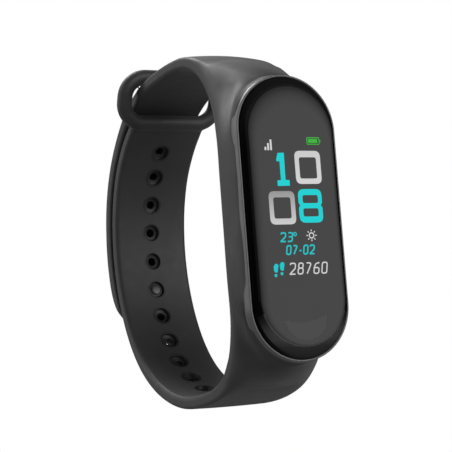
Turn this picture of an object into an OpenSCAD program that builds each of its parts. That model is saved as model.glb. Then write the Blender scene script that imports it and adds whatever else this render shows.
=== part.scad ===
// Fitness tracker band: a moulded silicone wristband that closes with a push stud,
// and a sealed display capsule that pops out through the front of its pocket.
//
// Frame: millimetres. The origin is the centre of the wrist opening, level with the
// middle of the display. +X runs across the band, -Y is the way the display faces and
// +Z runs up the display, towards the arm that carries the stud.

/* [Wristband] */
// Width of both arms of the strap
strap_w = 14.7; // [14.4:0.1:15]
// Width of the wristband beside the capsule
pocket_w = 19.6; // [19.4:0.1:20]
// Diameter of a strap hole at its mouth, on the wrist side
hole_mouth_d = 3.2; // [3.1:0.1:3.6]
// Diameter of a strap hole where it leaves the strap
hole_throat_d = 2.6; // [2.6:0.1:2.8]
// Which strap hole the stud is in, counted from the loop
worn_hole = 6; // [6:1:6]

/* [Loop] */
// Diameter of the round bar that the loop is moulded from
loop_bar_d = 2.6; // [2.4:0.1:2.8]
// Distance between the middles of the loop's two sides
loop_w = 18.8; // [18.6:0.1:19.4]
// Radius of the loop's corners, to the middle of its bar
loop_corner_r = 3.7; // [3.2:0.1:4]

/* [Stud] */
// Diameter of the stud's head, which snaps through a strap hole
stud_head_d = 2.3; // [2.1:0.1:2.3]
// Diameter of the stud's neck
stud_neck_d = 1.8; // [1.6:0.1:1.9]
// Diameter of the cap on the outside of the strap
cap_d = 7.4; // [6:0.2:8]

/* [Capsule] */
// Length of the lens
lens_l = 46; // [45.6:0.1:46]
// Width of the lens
lens_w = 17.7; // [17.5:0.1:17.7]
// Thickness of the lens
lens_t = 1.1; // [1:0.1:1.1]
// Width of the lens's rounded edge
lens_edge = 1.15; // [0.8:0.05:1.3]
// Diameter of the touch dimple
dimple_d = 8; // [6:0.5:9]
// Depth of the touch dimple
dimple_depth = 0.35; // [0.2:0.05:0.5]
// Thickness of the capsule's walls
case_wall = 0.8; // [0.6:0.1:0.9]

/* [Display] */
// Width of the display panel
display_w = 12.4; // [11:0.2:12.8]
// Length of the display panel
display_l = 26; // [24:0.5:26]

/* [Vibration motor] */
// Outer diameter of the coin motor
motor_d = 7; // [6:0.5:7]
// Diameter of the motor's fixed shaft
motor_shaft_d = 0.8; // [0.6:0.1:1]
// Running clearance around the shaft, on the radius
shaft_gap = 0.05; // [0.02:0.01:0.08]

/* [Hidden] */

// The wristband is one strip, followed from the free tip with the stud, up outside the
// other arm, through the loop, over the top, down the pocket and round to the loop.
// Each row is a point on the wrist side of the strip: [y, z, thickness there].
strip = [
    [23.9, -11.2, 1.0], [25.0, -8.0, 1.9], [26.1, -2.0, 2.2], [26.0, 4.0, 2.2],
    [24.8, 10.0, 2.2], [22.3, 15.5, 2.2], [18.7, 20.2, 2.2], [13.8, 24.5, 2.2],
    [9.0, 26.8, 2.2], [4.5, 27.9, 2.2], [0.0, 28.5, 2.2], [-5.0, 28.8, 2.2],
    [-9.0, 28.5, 2.2], [-12.5, 27.3, 2.4], [-15.5, 25.4, 2.9], [-18.2, 22.6, 4.0],
    [-20.4, 19.0, 5.8], [-21.5, 14.5, 7.6], [-21.7, 8.0, 8.2], [-21.7, 0.0, 8.2],
    [-21.7, -10.0, 8.2], [-21.2, -17.0, 6.6], [-19.4, -21.4, 4.4], [-16.3, -24.4, 3.0],
    [-12.0, -26.3, 2.4], [-6.0, -27.4, 2.2], [0.0, -27.5, 2.2], [5.2, -26.4, 2.2],
    [10.3, -24.2, 2.2], [14.7, -21.0, 2.2], [18.1, -16.9, 2.2], [20.6, -12.1, 2.2],
    [22.2, -7.0, 2.2], [22.95, -1.6, 2.2], [22.8, 3.8, 2.2], [21.75, 9.0, 2.2],
    [19.6, 14.0, 2.2], [16.4, 18.2, 2.2], [12.2, 22.0, 1.8]];
hinge_row = 4;         // where the free tip starts to bend
first_hole_row = 37;   // the strap hole nearest the loop
hole_count = 11;       // one hole at each row from there, 5.4 mm apart
fine = 4;              // facets along the strip between two rows
hinge_gap = 0.1;       // slit that lets the tip turn as a body of its own

// Collar that carries the strip up round the capsule: [radius about the capsule's
// straight middle, depth]. The first row is the lip beside the lens.
collar = [[9.0, -30.05], [9.5, -28.8], [10.05, -27], [10.65, -25], [11.25, -23],
          [11.75, -21], [12.2, -19]];

// Loop, in the plane of its bars: the lower bar is the end of the strip.
lower_bar = [12.0, 23.2];
upper_bar = [9.0, 31.1];

// Half width of the wristband seen from the front, at heights up the display.
front_half = [[pocket_w / 2, 0], [pocket_w / 2, 12], [pocket_w / 2 - 0.3, 16],
              [pocket_w / 2 - 1.1, 20], [pocket_w / 2 - 1.9, 23.5],
              [strap_w / 2, 27], [strap_w / 2, 40]];
// Half width of the wristband seen from above, at depths behind the lens.
plan_half = [[lens_w / 2 + 0.35, -40], [lens_w / 2 + 0.35, -30], [pocket_w / 2 - 0.4, -29.2],
             [pocket_w / 2, -27.5], [pocket_w / 2, -26], [pocket_w / 2 - 0.5, -23.6],
             [pocket_w / 2 - 1.6, -21.5], [pocket_w / 2 - 2, -19], [strap_w / 2, -15],
             [strap_w / 2, 40]];

// Depths of the capsule's layers. The display faces -Y, so larger is nearer the wrist.
face_y = -31;
lens_back_y = face_y + lens_t;
frame_y = lens_back_y + 0.2;      // adhesive under the lens
flange_y = frame_y + 0.7;         // underside of the capsule's rim
seal_y = flange_y + 2;
case_y = seal_y + 0.2;
ledge_y = -22.95;                 // back of the capsule, on the pocket's lip
skin_y = -20.9;                   // sensor face, against the wrist
floor_y = ledge_y - case_wall;    // inner floor round the sensor platform
sensor_floor_y = skin_y - case_wall;
board_y = floor_y - 0.8;          // display side of the main board

// Clearances, each way.
pocket_gap = 0.1;
seat_gap = 0.05;

// Outlines across the capsule, as [width, length] of round-ended shapes.
lens_outline = [lens_w, lens_l];
flange_outline = lens_outline - [0.7, 0.7];
case_outline = lens_outline - [1.7, 1.7];
cavity_outline = case_outline - 2 * [case_wall, case_wall];
platform_outline = [12.4, 39.8];
well_outline = platform_outline - 2 * [case_wall, case_wall];

display_z = 1.5;                  // middle of the display panel
dimple_z = -15.8;
motor_z = -17.3;
motor_y = [-27.6, -25.0];
sensor_z = 2;
contact_z = -15;
contact_x = 2.4;
contact_d = 1.8;

rubber = [0.16, 0.16, 0.17];
gloss_black = [0.05, 0.05, 0.06];
board_green = [0.05, 0.3, 0.15];
steel = [0.75, 0.76, 0.78];
gold = [0.85, 0.68, 0.3];
amber = [0.75, 0.42, 0.12];

// ---- The strip: a smooth curve through its rows ----

function flat(p) = [p[0], p[1]];
function gap_after(i) = norm(flat(strip[i + 1]) - flat(strip[i]));
function slope(i) =
    i == 0 ? (strip[1] - strip[0]) / gap_after(0)
    : i == len(strip) - 1 ? (strip[i] - strip[i - 1]) / gap_after(i - 1)
    : let (a = gap_after(i - 1), b = gap_after(i))
      ((strip[i] - strip[i - 1]) * b / a + (strip[i + 1] - strip[i]) * a / b) / (a + b);
function between(i, u) =
    let (d = gap_after(i))
    strip[i] * (2 * u * u * u - 3 * u * u + 1) + slope(i) * d * (u * u * u - 2 * u * u + u)
    + strip[i + 1] * (3 * u * u - 2 * u * u * u) + slope(i + 1) * d * (u * u * u - u * u);
curve = [for (i = [0 : len(strip) - 2], s = [0 : fine - 1]) between(i, s / fine),
         strip[len(strip) - 1]];

// Unit vector out of the wrist opening at a point of the curve.
function outward(k) =
    let (a = flat(curve[max(k - 1, 0)]), b = flat(curve[min(k + 1, len(curve) - 1)]),
         h = (b - a) / norm(b - a)) [h[1], -h[0]];
function outer(k) = flat(curve[k]) + curve[k][2] * outward(k);

module strip_between(k0, k1, width) {
    points = concat([for (k = [k0 : k1]) flat(curve[k])], [for (k = [k1 : -1 : k0]) outer(k)]);
    rotate([90, 0, 90]) linear_extrude(width, center = true) polygon(points);
}

// Stands children, drawn up +Z, on the wrist side of the strip and pointing out of it.
module out_of_strip(row) {
    n = outward(row * fine);
    translate([0, strip[row][0], strip[row][1]]) rotate([atan2(-n[0], n[1]), 0, 0]) children();
}

// ---- Shared shapes ----

// A round-ended outline, size[0] wide and size[1] long.
module capsule_outline(size) {
    r = size[0] / 2;
    c = size[1] / 2 - r;
    polygon([for (end = [0, 1], a = [0 : 7.5 : 180])
             [r * cos(a + 180 * end), r * sin(a + 180 * end) + (end == 0 ? c : -c)]]);
}

// Stands an outline up in the XZ plane and fills it from depth y0 to depth y1.
module between_depths(y0, y1)
    translate([0, y1, 0]) rotate([90, 0, 0]) linear_extrude(y1 - y0) children();

module slab(size, y0, y1) between_depths(y0, y1) capsule_outline(size);

module frame_slab(outside, inside, y0, y1)
    between_depths(y0, y1) difference() {
        capsule_outline(outside);
        capsule_outline(inside);
    }

module block(low, high) translate(low) cube(high - low);

// A disc or pin along Y.
module along_y(d, y0, y1, x = 0, z = 0)
    translate([x, y1, z]) rotate([90, 0, 0]) cylinder(d = d, h = y1 - y0, $fn = 48);

module mirrored_outline(half)
    polygon(concat(half, [for (i = [len(half) - 1 : -1 : 0]) [-half[i][0], half[i][1]]]));

// ---- Wristband ----

module round_corner(r, d, start) rotate_extrude(angle = 90, start = start, $fn = 64)
    translate([r, 0]) circle(d = d, $fn = 32);

module bar(length, d) rotate([0, 90, 0]) cylinder(d = d, h = length, center = true, $fn = 32);

module loop() {
    rise = norm(upper_bar - lower_bar);
    lean = atan2(upper_bar[1] - lower_bar[1], upper_bar[0] - lower_bar[0]);
    r = loop_corner_r;
    translate([0, lower_bar[0], lower_bar[1]]) rotate([lean, 0, 0]) {
        for (y = [0, rise]) translate([0, y, 0]) bar(loop_w - 2 * r, loop_bar_d);
        for (s = [-1, 1]) {
            translate([s * loop_w / 2, rise / 2, 0]) rotate([0, 0, 90])
                bar(rise - 2 * r, loop_bar_d);
            translate([s * (loop_w / 2 - r), rise - r, 0])
                round_corner(r, loop_bar_d, s > 0 ? 0 : 90);
            translate([s * (loop_w / 2 - r), r, 0])
                round_corner(r, loop_bar_d, s > 0 ? 270 : 180);
        }
    }
}

module strap_hole(row) {
    mouth_depth = 0.9;
    out_of_strip(row) {
        translate([0, 0, -0.5]) cylinder(d = hole_throat_d, h = 3.1, $fn = 32);
        translate([0, 0, -0.5]) cylinder(d = hole_mouth_d, h = 0.5 + mouth_depth, $fn = 32);
    }
}

module collar_body() {
    straight = lens_l - lens_w;
    translate([0, 0, -straight / 2]) linear_extrude(straight) mirrored_outline(collar);
    for (end = [-1, 1]) translate([0, 0, end * straight / 2]) rotate([-90, 0, 0])
        rotate_extrude(angle = 180, start = end > 0 ? 180 : 0, $fn = 96)
            polygon(concat([[0, collar[0][1]]], collar, [[0, collar[len(collar) - 1][1]]]));
}

// The front half of the wrist opening.
module opening_room() rotate([90, 0, 90]) linear_extrude(40, center = true)
    polygon([for (k = [10 * fine : 27 * fine]) flat(curve[k])]);

module pocket_room() {
    slab(lens_outline + 2 * [pocket_gap, pocket_gap], face_y - 3, frame_y + seat_gap);
    slab(flange_outline + 2 * [pocket_gap, pocket_gap], frame_y, flange_y + seat_gap);
    slab(case_outline + 2 * [pocket_gap, pocket_gap], flange_y, ledge_y + seat_gap);
    slab(platform_outline + 2 * [pocket_gap, pocket_gap], ledge_y, skin_y + 2);
}

module wristband() {
    color(rubber) union() {
        difference() {
            intersection() {
                union() {
                    strip_between(hinge_row * fine, len(curve) - 1, pocket_w);
                    difference() {
                        collar_body();
                        opening_room();
                    }
                }
                between_depths(-40, 40) union() {
                    mirrored_outline(front_half);
                    mirror([0, 1]) mirrored_outline(front_half);
                }
                translate([0, 0, -45]) linear_extrude(90) mirrored_outline(plan_half);
            }
            pocket_room();
            for (i = [0 : hole_count - 1]) strap_hole(first_hole_row - i);
        }
        loop();
    }
}

stud_row = first_hole_row + 1 - worn_hole;
cap_seat = 5.0;   // height of the cap's seat above the wrist side of the holed arm

module strap_tip() {
    cut = outward(hinge_row * fine);
    hinge = strip[hinge_row];
    color(rubber) difference() {
        strip_between(0, hinge_row * fine, strap_w);
        translate([0, hinge[0], hinge[1]]) rotate([atan2(-cut[0], cut[1]), 0, 0])
            translate([-20, hinge_gap - 5, -5]) cube([40, 5, 12]);
        for (side = [-1, 1]) tip_corner(side);
        out_of_strip(stud_row) {
            cylinder(d = stud_neck_d, h = 10, $fn = 32);
            translate([0, 0, cap_seat]) cylinder(d = cap_d + 0.1, h = 5, $fn = 48);
        }
    }
}

// Everything outside a rounded corner of the free tip.
module tip_corner(side) {
    r = 5;
    translate([side * (strap_w / 2 - r), 0, strip[0][1] + r - 0.5])
        between_depths(15, 35) difference() {
            translate([side > 0 ? 0 : -9, -9]) square(9);
            circle(r = r, $fn = 48);
        }
}

module clasp_stud() {
    head_low = 0.3;
    head_high = 1.1;
    color(steel) out_of_strip(stud_row) {
        translate([0, 0, head_low]) cylinder(d1 = stud_head_d - 0.5, d2 = stud_head_d, h = 0.3, $fn = 32);
        translate([0, 0, head_low + 0.3])
            cylinder(d = stud_head_d, h = head_high - head_low - 0.3, $fn = 32);
        translate([0, 0, head_high]) cylinder(d = stud_neck_d, h = cap_seat - head_high, $fn = 32);
    }
}

module clasp_cap() {
    color(steel) out_of_strip(stud_row) translate([0, 0, cap_seat]) {
        cylinder(d = cap_d, h = 0.5, $fn = 48);
        translate([0, 0, 0.5]) cylinder(d1 = cap_d, d2 = cap_d - 1, h = 0.3, $fn = 48);
    }
}

// ---- Capsule: front ----

// Half of the lens's section, from its middle to its rounded edge.
lens_section = concat(
    [for (a = [0 : 15 : 90])
        [lens_w / 2 - lens_edge * (1 - sin(a)), face_y + (lens_t - 0.2) * (1 - cos(a))]],
    [[lens_w / 2, lens_back_y]]);

module front_lens() {
    straight = lens_l - lens_w;
    ball_r = (dimple_d * dimple_d / 4 + dimple_depth * dimple_depth) / (2 * dimple_depth);
    color(gloss_black) difference() {
        union() {
            translate([0, 0, -straight / 2]) linear_extrude(straight)
                mirrored_outline(lens_section);
            for (end = [-1, 1]) translate([0, 0, end * straight / 2]) rotate([-90, 0, 0])
                rotate_extrude(angle = 180, start = end > 0 ? 180 : 0, $fn = 96)
                    polygon(concat([[0, face_y]], lens_section, [[0, lens_back_y]]));
        }
        translate([0, face_y + dimple_depth - ball_r, dimple_z]) sphere(r = ball_r, $fn = 96);
    }
}

module lens_adhesive() color([0.1, 0.1, 0.1])
    frame_slab(lens_outline - [0.6, 0.6], cavity_outline + [0.2, 0.2], lens_back_y, frame_y);

module display_panel() color([0.08, 0.09, 0.12])
    block([-display_w / 2, lens_back_y, display_z - display_l / 2],
          [display_w / 2, lens_back_y + 1.2, display_z + display_l / 2]);

tray_y = lens_back_y + 1.2;
tray_t = 0.7;

module backlight_tray() color(steel) difference() {
    block([-display_w / 2 - 0.3, tray_y, display_z - display_l / 2 - 0.3],
          [display_w / 2 + 0.3, tray_y + tray_t, display_z + display_l / 2 + 0.3]);
    block([-display_w / 2 + 0.3, tray_y - 1, display_z - display_l / 2 + 0.3],
          [display_w / 2 - 0.3, tray_y + tray_t - 0.2, display_z + display_l / 2 - 0.3]);
}

module display_foam() color([0.25, 0.25, 0.27])
    block([-5.6, tray_y + tray_t, display_z - 12], [5.6, tray_y + tray_t + 0.2, display_z + 12]);

// A ribbon bent in the YZ plane: along the lens, back towards the board, along the board.
module ribbon(x0, x1, start_y, start_z, turn_z, end_y, end_z) {
    t = 0.15;
    translate([x0, 0, 0]) rotate([90, 0, 90]) linear_extrude(x1 - x0)
        polygon([[start_y, start_z], [start_y, turn_z], [end_y - t, turn_z],
                 [end_y - t, end_z], [end_y, end_z], [end_y, turn_z + t],
                 [start_y + t, turn_z + t], [start_y + t, start_z]]);
}

module display_flex() color(amber)
    ribbon(-2.5, 2.5, lens_back_y + 0.5, display_z - display_l / 2, -12.8, board_y, -13.6);

module touch_pad() color(gold) along_y(dimple_d - 0.6, lens_back_y, lens_back_y + 0.15, 0, dimple_z);

module touch_flex() color(amber)
    ribbon(-5.4, -4, lens_back_y, -14.6, -15.2, board_y, -15.9);

module mid_frame() color([0.12, 0.12, 0.13]) {
    frame_slab(flange_outline, cavity_outline, frame_y, flange_y);
    frame_slab(case_outline, cavity_outline, flange_y, seal_y);
}

module case_seal() color([0.75, 0.25, 0.2])
    frame_slab(case_outline - [0.2, 0.2], cavity_outline + [0.4, 0.4], seal_y, case_y);

// ---- Capsule: back ----

window_size = [8.4, 11.4];

module window_outline(size) translate([0, sensor_z]) {
    r = 1.5;
    square([size[0], size[1] - 2 * r], center = true);
    square([size[0] - 2 * r, size[1]], center = true);
    for (x = [-1, 1], z = [-1, 1])
        translate([x * (size[0] / 2 - r), z * (size[1] / 2 - r)]) circle(r = r, $fn = 32);
}

module back_case() color([0.1, 0.1, 0.11]) difference() {
    union() {
        slab(case_outline, case_y, ledge_y);
        slab(platform_outline, ledge_y - 0.1, skin_y);
    }
    slab(cavity_outline, case_y - 1, floor_y);
    slab(well_outline, floor_y - 1, sensor_floor_y);
    between_depths(sensor_floor_y - 1, skin_y + 1) window_outline(window_size);
    for (s = [-1, 1]) along_y(contact_d, sensor_floor_y - 1, skin_y + 1, s * contact_x, contact_z);
}

module sensor_window() color([0.2, 0.05, 0.07, 0.6])
    between_depths(sensor_floor_y, skin_y) window_outline(window_size);

module charging_contacts() color(gold)
    for (s = [-1, 1]) along_y(contact_d, floor_y, skin_y, s * contact_x, contact_z);

// ---- Inside the capsule ----

battery_y = [tray_y + tray_t + 0.25, board_y - 0.35];
battery_z = [-11.4, 14.6];

module battery() color([0.78, 0.79, 0.82]) difference() {
    block([-6, battery_y[0], battery_z[0]], [6, battery_y[1], battery_z[1]]);
    for (s = [-1, 1]) translate([s * 6, battery_y[0] - 1, battery_z[0] - 1]) rotate([0, 45, 0])
        cube([0.8, 9, 0.8], center = true);
}

lead_x = [4.2, 5.4];
lead_y = -25.2;
plug_z = -13;

module battery_leads() color([0.7, 0.1, 0.1])
    for (x = lead_x) translate([x, lead_y, plug_z])
        cylinder(d = 0.6, h = battery_z[0] - plug_z, $fn = 24);

module battery_connector() color([0.9, 0.88, 0.8])
    block([lead_x[0] - 0.6, lead_y - 0.5, plug_z - 1.6], [lead_x[1] + 0.5, board_y, plug_z]);

module main_board() color(board_green) difference() {
    slab(cavity_outline - [0.3, 0.3], board_y, floor_y);
    for (s = [-1, 1]) along_y(1.2, board_y - 1, floor_y + 1, 0, s * 20);
}

module processor_chip() color([0.08, 0.08, 0.08]) block([-3, floor_y, -12], [3, floor_y + 0.9, -6]);

module memory_chip() color([0.1, 0.1, 0.1]) block([-4.4, floor_y, 10.6], [-1.4, floor_y + 0.8, 14.6]);

module motion_sensor() color([0.15, 0.15, 0.16]) block([1.8, floor_y, 11.4], [3.8, floor_y + 0.8, 13.4]);

module radio_shield() color(steel) difference() {
    block([-3.5, board_y - 1.3, 15.4], [3.5, board_y, 19.2]);
    block([-3.3, board_y - 1.1, 15.6], [3.3, board_y + 1, 19]);
}

module antenna() color(gold) difference() {
    frame_slab(cavity_outline - [0.5, 0.5], cavity_outline - [1.1, 1.1], board_y - 2.4, board_y);
    block([-9, board_y - 5, -30], [9, board_y + 1, 15.6]);
    block([5, board_y - 5, 10], [9, board_y - 0.8, 25]);
}

// ---- Vibration motor ----

shell_t = 0.2;

module motor_can() color(steel) difference() {
    along_y(motor_d, motor_y[0], motor_y[1] - shell_t, 0, motor_z);
    along_y(motor_d - 2 * shell_t, motor_y[0] + shell_t, motor_y[1], 0, motor_z);
}

module motor_cover() color([0.6, 0.62, 0.64]) along_y(motor_d, motor_y[1] - shell_t, motor_y[1], 0, motor_z);

module motor_shaft() color(steel)
    along_y(motor_shaft_d, motor_y[0] + shell_t, motor_y[1] - shell_t, 0, motor_z);

module motor_rotor() color([0.55, 0.5, 0.42]) {
    weight_d = motor_d - 2 * shell_t - 0.6;
    y0 = motor_y[0] + shell_t + 0.3;
    y1 = motor_y[1] - shell_t - 0.3;
    hub_d = motor_shaft_d + 1.2;
    difference() {
        union() {
            intersection() {
                along_y(weight_d, y0, y1, 0, motor_z);
                block([-5, y0 - 1, motor_z - 5], [5, y1 + 1, motor_z]);
            }
            along_y(hub_d, y0, y1, 0, motor_z);
        }
        along_y(motor_shaft_d + 2 * shaft_gap, y0 - 1, y1 + 1, 0, motor_z);
    }
}

// ---- Pulse sensor ----

sensor_board_y = floor_y + 0.4;
chip_y = sensor_board_y + 0.7;
led_z = [sensor_z + 3.4, sensor_z - 3.4];

module sensor_board() color(board_green)
    block([-4.6, floor_y, sensor_z - 6], [4.6, sensor_board_y, sensor_z + 6]);

module green_leds() color([0.3, 0.9, 0.4])
    for (z = led_z) block([-0.8, sensor_board_y, z - 0.5], [0.8, chip_y, z + 0.5]);

module photodiode() color([0.12, 0.12, 0.2])
    block([-1.4, sensor_board_y, sensor_z - 1.4], [1.4, chip_y, sensor_z + 1.4]);

module light_baffle() color([0.05, 0.05, 0.05]) difference() {
    block([-3.8, sensor_board_y, sensor_z - 5.2], [3.8, sensor_floor_y, sensor_z + 5.2]);
    for (z = led_z) block([-1.4, sensor_board_y - 1, z - 1], [1.4, skin_y, z + 1]);
    block([-1.8, sensor_board_y - 1, sensor_z - 1.8], [1.8, skin_y, sensor_z + 1.8]);
}

wristband();
strap_tip();
clasp_stud();
clasp_cap();
front_lens();
lens_adhesive();
display_panel();
backlight_tray();
display_foam();
display_flex();
touch_pad();
touch_flex();
mid_frame();
case_seal();
back_case();
battery();
battery_leads();
battery_connector();
main_board();
processor_chip();
memory_chip();
motion_sensor();
radio_shield();
antenna();
motor_can();
motor_cover();
motor_shaft();
motor_rotor();
sensor_board();
green_leds();
photodiode();
light_baffle();
sensor_window();
charging_contacts();
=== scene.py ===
# Looks of the fitness tracker band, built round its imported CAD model.
# Distances in the shape code are millimetres in the CAD's frame: +X across the strap,
# -Y the way the display faces, +Z up the display.
import math

import bmesh
import bpy
import numpy as np
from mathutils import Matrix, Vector


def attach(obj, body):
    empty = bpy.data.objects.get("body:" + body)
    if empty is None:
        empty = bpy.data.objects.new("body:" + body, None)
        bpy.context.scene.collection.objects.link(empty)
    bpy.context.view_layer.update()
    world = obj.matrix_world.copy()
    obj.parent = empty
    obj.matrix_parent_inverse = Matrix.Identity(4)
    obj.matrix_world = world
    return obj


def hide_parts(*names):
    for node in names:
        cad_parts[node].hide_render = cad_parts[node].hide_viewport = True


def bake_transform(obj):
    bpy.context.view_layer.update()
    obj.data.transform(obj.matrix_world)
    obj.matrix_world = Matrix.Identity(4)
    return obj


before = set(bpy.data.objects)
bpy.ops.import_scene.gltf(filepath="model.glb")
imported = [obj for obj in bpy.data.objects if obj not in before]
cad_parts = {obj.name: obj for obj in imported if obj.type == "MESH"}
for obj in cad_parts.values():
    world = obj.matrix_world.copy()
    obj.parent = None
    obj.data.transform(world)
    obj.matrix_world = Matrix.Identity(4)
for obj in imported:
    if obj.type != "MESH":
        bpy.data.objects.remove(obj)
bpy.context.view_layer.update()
scene = bpy.context.scene
MM = 0.001

# ---- the strip
# Points on the wrist side of the strip, from the free tip with the stud, over the
# loop, down the pocket and round to the loop. Each row: y, z, thickness at the edge,
# half width on the wrist side, widest half width, half width on the outside.
W = 7.35
STRIP = np.array([
    [23.9, -11.2, 1.0, W, W, W], [25.0, -8.0, 1.9, W, W, W],
    [26.1, -2.0, 2.15, W, W, W], [26.0, 4.0, 2.15, W, W, W],
    [24.8, 10.0, 2.15, W, W, W], [22.3, 15.5, 2.15, W, W, W],
    [18.7, 20.2, 2.15, W, W, W], [13.8, 24.5, 2.15, W, W, W],
    [9.0, 26.8, 2.15, W, W, W], [4.5, 27.9, 2.15, W, W, W],
    [0.0, 28.5, 2.15, W, W, W], [-5.0, 28.8, 2.1, W, W, W],
    [-9.0, 28.5, 2.2, W, W, W], [-12.5, 27.3, 2.4, W, W, W],
    [-15.5, 25.4, 2.9, 7.5, 7.5, 7.4], [-18.2, 22.6, 4.0, 7.7, 8.0, 7.7],
    [-20.4, 19.0, 5.6, 8.0, 8.9, 8.5], [-21.5, 14.5, 6.8, 8.2, 9.5, 9.1],
    [-21.7, 8.0, 7.0, 8.2, 9.8, 9.35], [-21.7, 0.0, 7.0, 8.2, 9.8, 9.35],
    [-21.7, -10.0, 7.0, 8.2, 9.8, 9.35], [-21.2, -17.0, 6.2, 8.1, 9.0, 8.7],
    [-19.4, -21.4, 4.4, 7.9, 8.1, 7.9], [-16.3, -24.4, 3.0, 7.6, 7.6, 7.5],
    [-12.0, -26.3, 2.4, W, W, W], [-6.0, -27.4, 2.2, W, W, W],
    [0.0, -27.5, 2.15, W, W, W], [5.2, -26.4, 2.15, W, W, W],
    [10.3, -24.2, 2.15, W, W, W], [14.7, -21.0, 2.15, W, W, W],
    [18.1, -16.9, 2.15, W, W, W], [20.6, -12.1, 2.15, W, W, W],
    [22.2, -7.0, 2.15, W, W, W], [22.95, -1.6, 2.15, W, W, W],
    [22.8, 3.8, 2.15, W, W, W], [21.75, 9.0, 2.15, W, W, W],
    [19.6, 14.0, 2.15, W, W, W], [16.4, 18.2, 2.15, W, W, W],
    [12.2, 22.0, 1.8, W, W, W]])
LOOP_ROW = 7.95        # where the upper arm goes through the loop
FRONT_ROW = 19
HOLE_ROWS = range(27, 38)
STUD_ROW = 32
# How much the strip's outside is domed across its width, at rows.
CROWN_ROW = [0, 9, 12, 15, 18, 20, 38]
CROWN = [0.15, 0.15, 0.4, 1.0, 0.95, 0.1, 0.1]

# Loop, in the plane of its bars.
LOWER_BAR = np.array([12.0, 23.2])
UPPER_BAR = np.array([9.0, 31.1])
LOOP_HALF = 9.4
LOOP_CORNER = 3.7
LOOP_BAR_R = 1.38

# Free end of the upper arm, and the stud through it.
TIP_R = 5.0            # corners of the tip
TIP_PAST = 2.9         # how far the tip goes past the strip's first row
NECK_R = 0.7
CAP_R = 3.72

# Rounding of the silicone's edges.
EDGE_R = 0.5           # outer edges of the strip
ARCH_EDGE_R = 4.8      # added to it where the strip thickens beside the capsule
THIN, THICK = 2.2, 6.4  # strip thickness where that rounding starts and is full
SEAM_R = 0.12          # rims of holes
POCKET_R = 0.18        # rim of the pocket

# Holes: a wide mouth on the wrist side and a narrower throat.
MOUTH_R = 1.49
MOUTH_DEPTH = 0.6
THROAT_R = 0.73
RIM_ROOM = 0.15        # the strap is cut this much wider than the mouth's own rim

# Collar round the capsule: its radius at depths.
COLLAR_Y = [-29.9, -28.8, -27.0, -25.0, -23.0, -21.0, -19.0]
COLLAR_R = [9.15, 9.42, 9.75, 10.3, 11.0, 11.6, 12.2]
COLLAR_HEIGHT = 8.3    # of the collar over the strip's wrist side
LIP_Y = -29.9
STRAIGHT = 14.15       # half length of the capsule's straight middle
# Pocket, from its mouth in: radius about that straight middle, and the y it reaches.
POCKET = [(8.95, -29.65), (8.6, -28.95), (8.1, -22.9), (6.3, -15.0)]


def slopes(rows):
    """Tangents at the rows, by chord length."""
    gap = np.linalg.norm(np.diff(rows[:, :2], axis=0), axis=1)
    step = np.diff(rows, axis=0)
    out = np.empty_like(rows)
    out[0] = step[0] / gap[0]
    out[-1] = step[-1] / gap[-1]
    a = gap[:-1, None]
    b = gap[1:, None]
    out[1:-1] = (step[:-1] * b / a + step[1:] * a / b) / (a + b)
    return out, gap


SLOPE, GAP = slopes(STRIP)


def strip_at(row):
    """The strip's six numbers at a row, which may be a fraction."""
    i = np.minimum(np.floor(row).astype(int), len(STRIP) - 2)
    u = (row - i)[:, None]
    d = GAP[i][:, None]
    return (STRIP[i] * (2 * u**3 - 3 * u**2 + 1) + SLOPE[i] * d * (u**3 - 2 * u**2 + u)
            + STRIP[i + 1] * (3 * u**2 - 2 * u**3) + SLOPE[i + 1] * d * (u**3 - u**2))


class Path:
    """A run of the strip from one row to another, as short straight pieces."""

    def __init__(self, first, last, per_row=14):
        count = int((last - first) * per_row) + 1
        self.row = np.linspace(first, last, count)
        self.table = strip_at(self.row)
        self.p = self.table[:, :2]
        step = np.diff(self.p, axis=0)
        self.length = np.linalg.norm(step, axis=1)
        self.way = step / self.length[:, None]
        self.s = np.concatenate([[0], np.cumsum(self.length)])

    def nearest(self, y, z):
        """Of each point: distance along the run, height out of the wrist side, and
        which short piece of the run it is by."""
        best = np.full(y.shape, 1e9)
        along = np.zeros(y.shape)
        height = np.zeros(y.shape)
        piece = np.zeros(y.shape, int)
        last = len(self.way) - 1
        for i, (a, w, length) in enumerate(zip(self.p, self.way, self.length)):
            dy = y - a[0]
            dz = z - a[1]
            t = dy * w[0] + dz * w[1]
            n = dy * w[1] - dz * w[0]
            low = -1e9 if i == 0 else 0.0
            high = 1e9 if i == last else length
            over = t - np.clip(t, low, high)
            d = np.hypot(n, over)
            closer = d < best
            best[closer] = d[closer]
            along[closer] = (self.s[i] + t)[closer]
            height[closer] = (np.sign(n) * d)[closer]
            piece[closer] = i
        return along, height, piece

    def at(self, column, s):
        """One of the strip's numbers, at a distance along the run."""
        return np.interp(s, self.s, self.table[:, column])

    def crown(self, s):
        return np.interp(np.interp(s, self.s, self.row), CROWN_ROW, CROWN)

    def s_of(self, row):
        return float(np.interp(row, self.row, self.s))


def frame_at(row):
    """Point on the wrist side, way along the strip and way out of it, at a row."""
    p = strip_at(np.array([row - 0.02, float(row), row + 0.02]))[:, :2]
    way = (p[2] - p[0]) / np.linalg.norm(p[2] - p[0])
    return p[1], way, np.array([way[1], -way[0]])


# ---- solid shapes
# A shape is a function of points that is negative inside it, near enough a distance.

def both(a, b, r):
    """Where two shapes overlap, with the edge between them rounded to radius r."""
    return (np.minimum(-r, np.maximum(a, b))
            + np.hypot(np.maximum(r + a, 0), np.maximum(r + b, 0)))


def joined(a, b, k):
    """Two shapes run into each other over a distance k."""
    h = np.maximum(k - np.abs(a - b), 0) / k
    return np.minimum(a, b) - h * h * k / 4


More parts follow.
